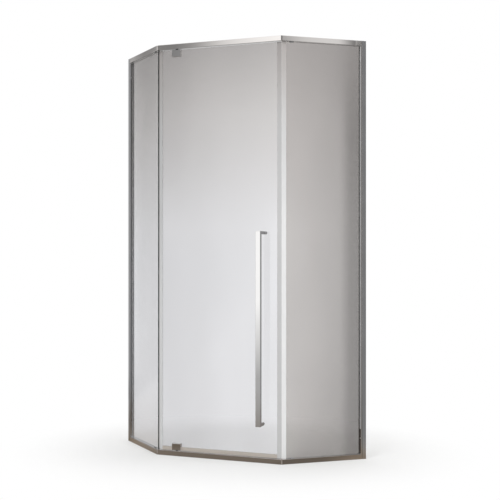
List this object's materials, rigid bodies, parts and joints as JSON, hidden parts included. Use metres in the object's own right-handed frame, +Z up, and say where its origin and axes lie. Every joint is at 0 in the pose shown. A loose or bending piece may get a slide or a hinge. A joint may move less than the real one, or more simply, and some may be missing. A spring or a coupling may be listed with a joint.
{
  "type": "corner shower enclosure",
  "caption": "Corner shower enclosure with fixed clear-glass sides, a pivoting glass door set across the corner, polished metal rails and jambs, and a long vertical bar handle.",
  "frame": {"origin": "on the floor, under the middle of the square plan", "axes": "+Z up; the left wall of the room is the plane at the +Y end and the right wall the plane at the +X end; the door faces between -X and -Y"},
  "size_m": [0.9, 0.9, 2],
  "materials": {
    "profile_metal": "bright polished extrusion",
    "cast_metal": "bright polished casting",
    "fitting_chrome": "polished chrome",
    "screw_steel": "plain stainless",
    "clear_glass": "clear toughened glass with polished edges",
    "gasket_rubber": "soft grey",
    "clip_plastic": "moulded dark grey",
    "seal_plastic": "translucent soft strip",
    "magnet_rubber": "magnetic strip",
    "bush_plastic": "moulded bearing plastic",
    "cap_plastic": "plated moulding"
  },
  "bodies": {
    "frame": {"wall_channel_left": "profile_metal", "wall_channel_right": "profile_metal", "jamb_left": "profile_metal", "jamb_right": "profile_metal", "bottom_rail_left": "profile_metal", "bottom_rail_right": "profile_metal", "top_rail_left": "profile_metal", "top_rail_right": "profile_metal", "header_rail": "profile_metal", "sill_rail": "profile_metal", "end_block_bottom_left": "cast_metal", "end_block_bottom_right": "cast_metal", "end_block_top_left": "cast_metal", "end_block_top_right": "cast_metal", "corner_joint_bottom_left": "cast_metal", "corner_joint_bottom_right": "cast_metal", "corner_joint_top_left": "cast_metal", "corner_joint_top_right": "cast_metal", "jamb_cap_left": "cap_plastic", "jamb_cap_right": "cap_plastic", "jamb_screws": "screw_steel", "fixed_glass_left": "clear_glass", "fixed_glass_right": "clear_glass", "jamb_gasket_left": "gasket_rubber", "jamb_gasket_right": "gasket_rubber", "bottom_gasket_left": "gasket_rubber", "bottom_gasket_right": "gasket_rubber", "top_gasket_left": "gasket_rubber", "top_gasket_right": "gasket_rubber", "glass_clips": "clip_plastic", "strike_seal": "seal_plastic", "strike_magnet": "magnet_rubber", "pivot_bush_bottom": "bush_plastic", "pivot_bush_top": "bush_plastic"},
    "door": {"door_glass": "clear_glass", "clamp_outer_bottom": "fitting_chrome", "clamp_outer_top": "fitting_chrome", "clamp_inner_bottom": "fitting_chrome", "clamp_inner_top": "fitting_chrome", "pivot_pin_bottom": "screw_steel", "pivot_pin_top": "screw_steel", "clamp_screws": "screw_steel", "clamp_gaskets": "gasket_rubber", "hinge_seal": "seal_plastic", "door_seal": "seal_plastic", "door_magnet": "magnet_rubber", "drip_seal": "seal_plastic", "handle_bar": "fitting_chrome", "handle_end_caps": "fitting_chrome", "handle_posts": "fitting_chrome", "handle_gaskets": "gasket_rubber", "handle_cap_screws": "fitting_chrome"}
  },
  "joints": [
    {"name": "door_pivot", "type": "hinge", "parent": "frame", "child": "door", "pos_m": [-0.36745, -0.05381, 0], "axis": [0, 0, -1], "range_deg": [0, 100]}
  ]
}
